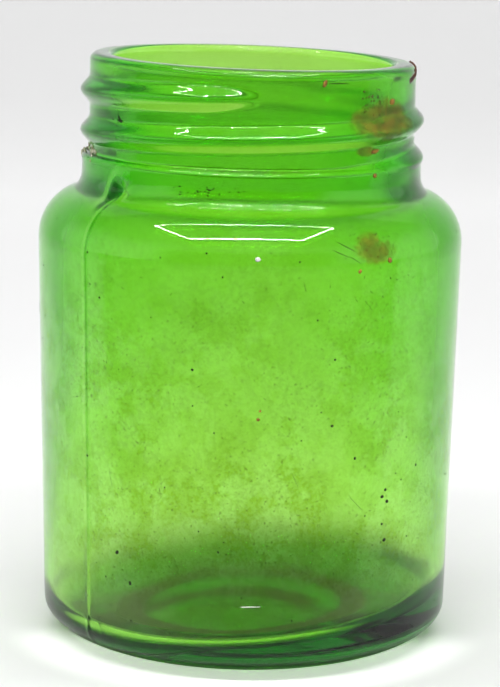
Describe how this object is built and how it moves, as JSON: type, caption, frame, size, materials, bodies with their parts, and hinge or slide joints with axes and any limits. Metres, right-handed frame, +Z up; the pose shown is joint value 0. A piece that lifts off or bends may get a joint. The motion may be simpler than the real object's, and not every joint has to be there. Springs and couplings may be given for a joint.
{
  "type": "wide-mouth screw-neck vial",
  "caption": "Round wide-mouth medicine vial moulded in one piece of transparent green glass, with a rounded shoulder, a short screw-thread neck, a flat rim and a thick base; it has no cap.",
  "frame": {"origin": "centre of the base on the plane that the bearing ring stands on", "axes": "+Z up along the vial's axis and out of its mouth; -Y is the front; +X is to the right seen from the front"},
  "size_m": [0.0466, 0.0466, 0.0642],
  "materials": {
    "green_glass": "clear gloss glass, fire-polished outside, with faint mould waviness"
  },
  "bodies": {
    "root": {"glass_vial": "green_glass"}
  },
  "joints": []
}
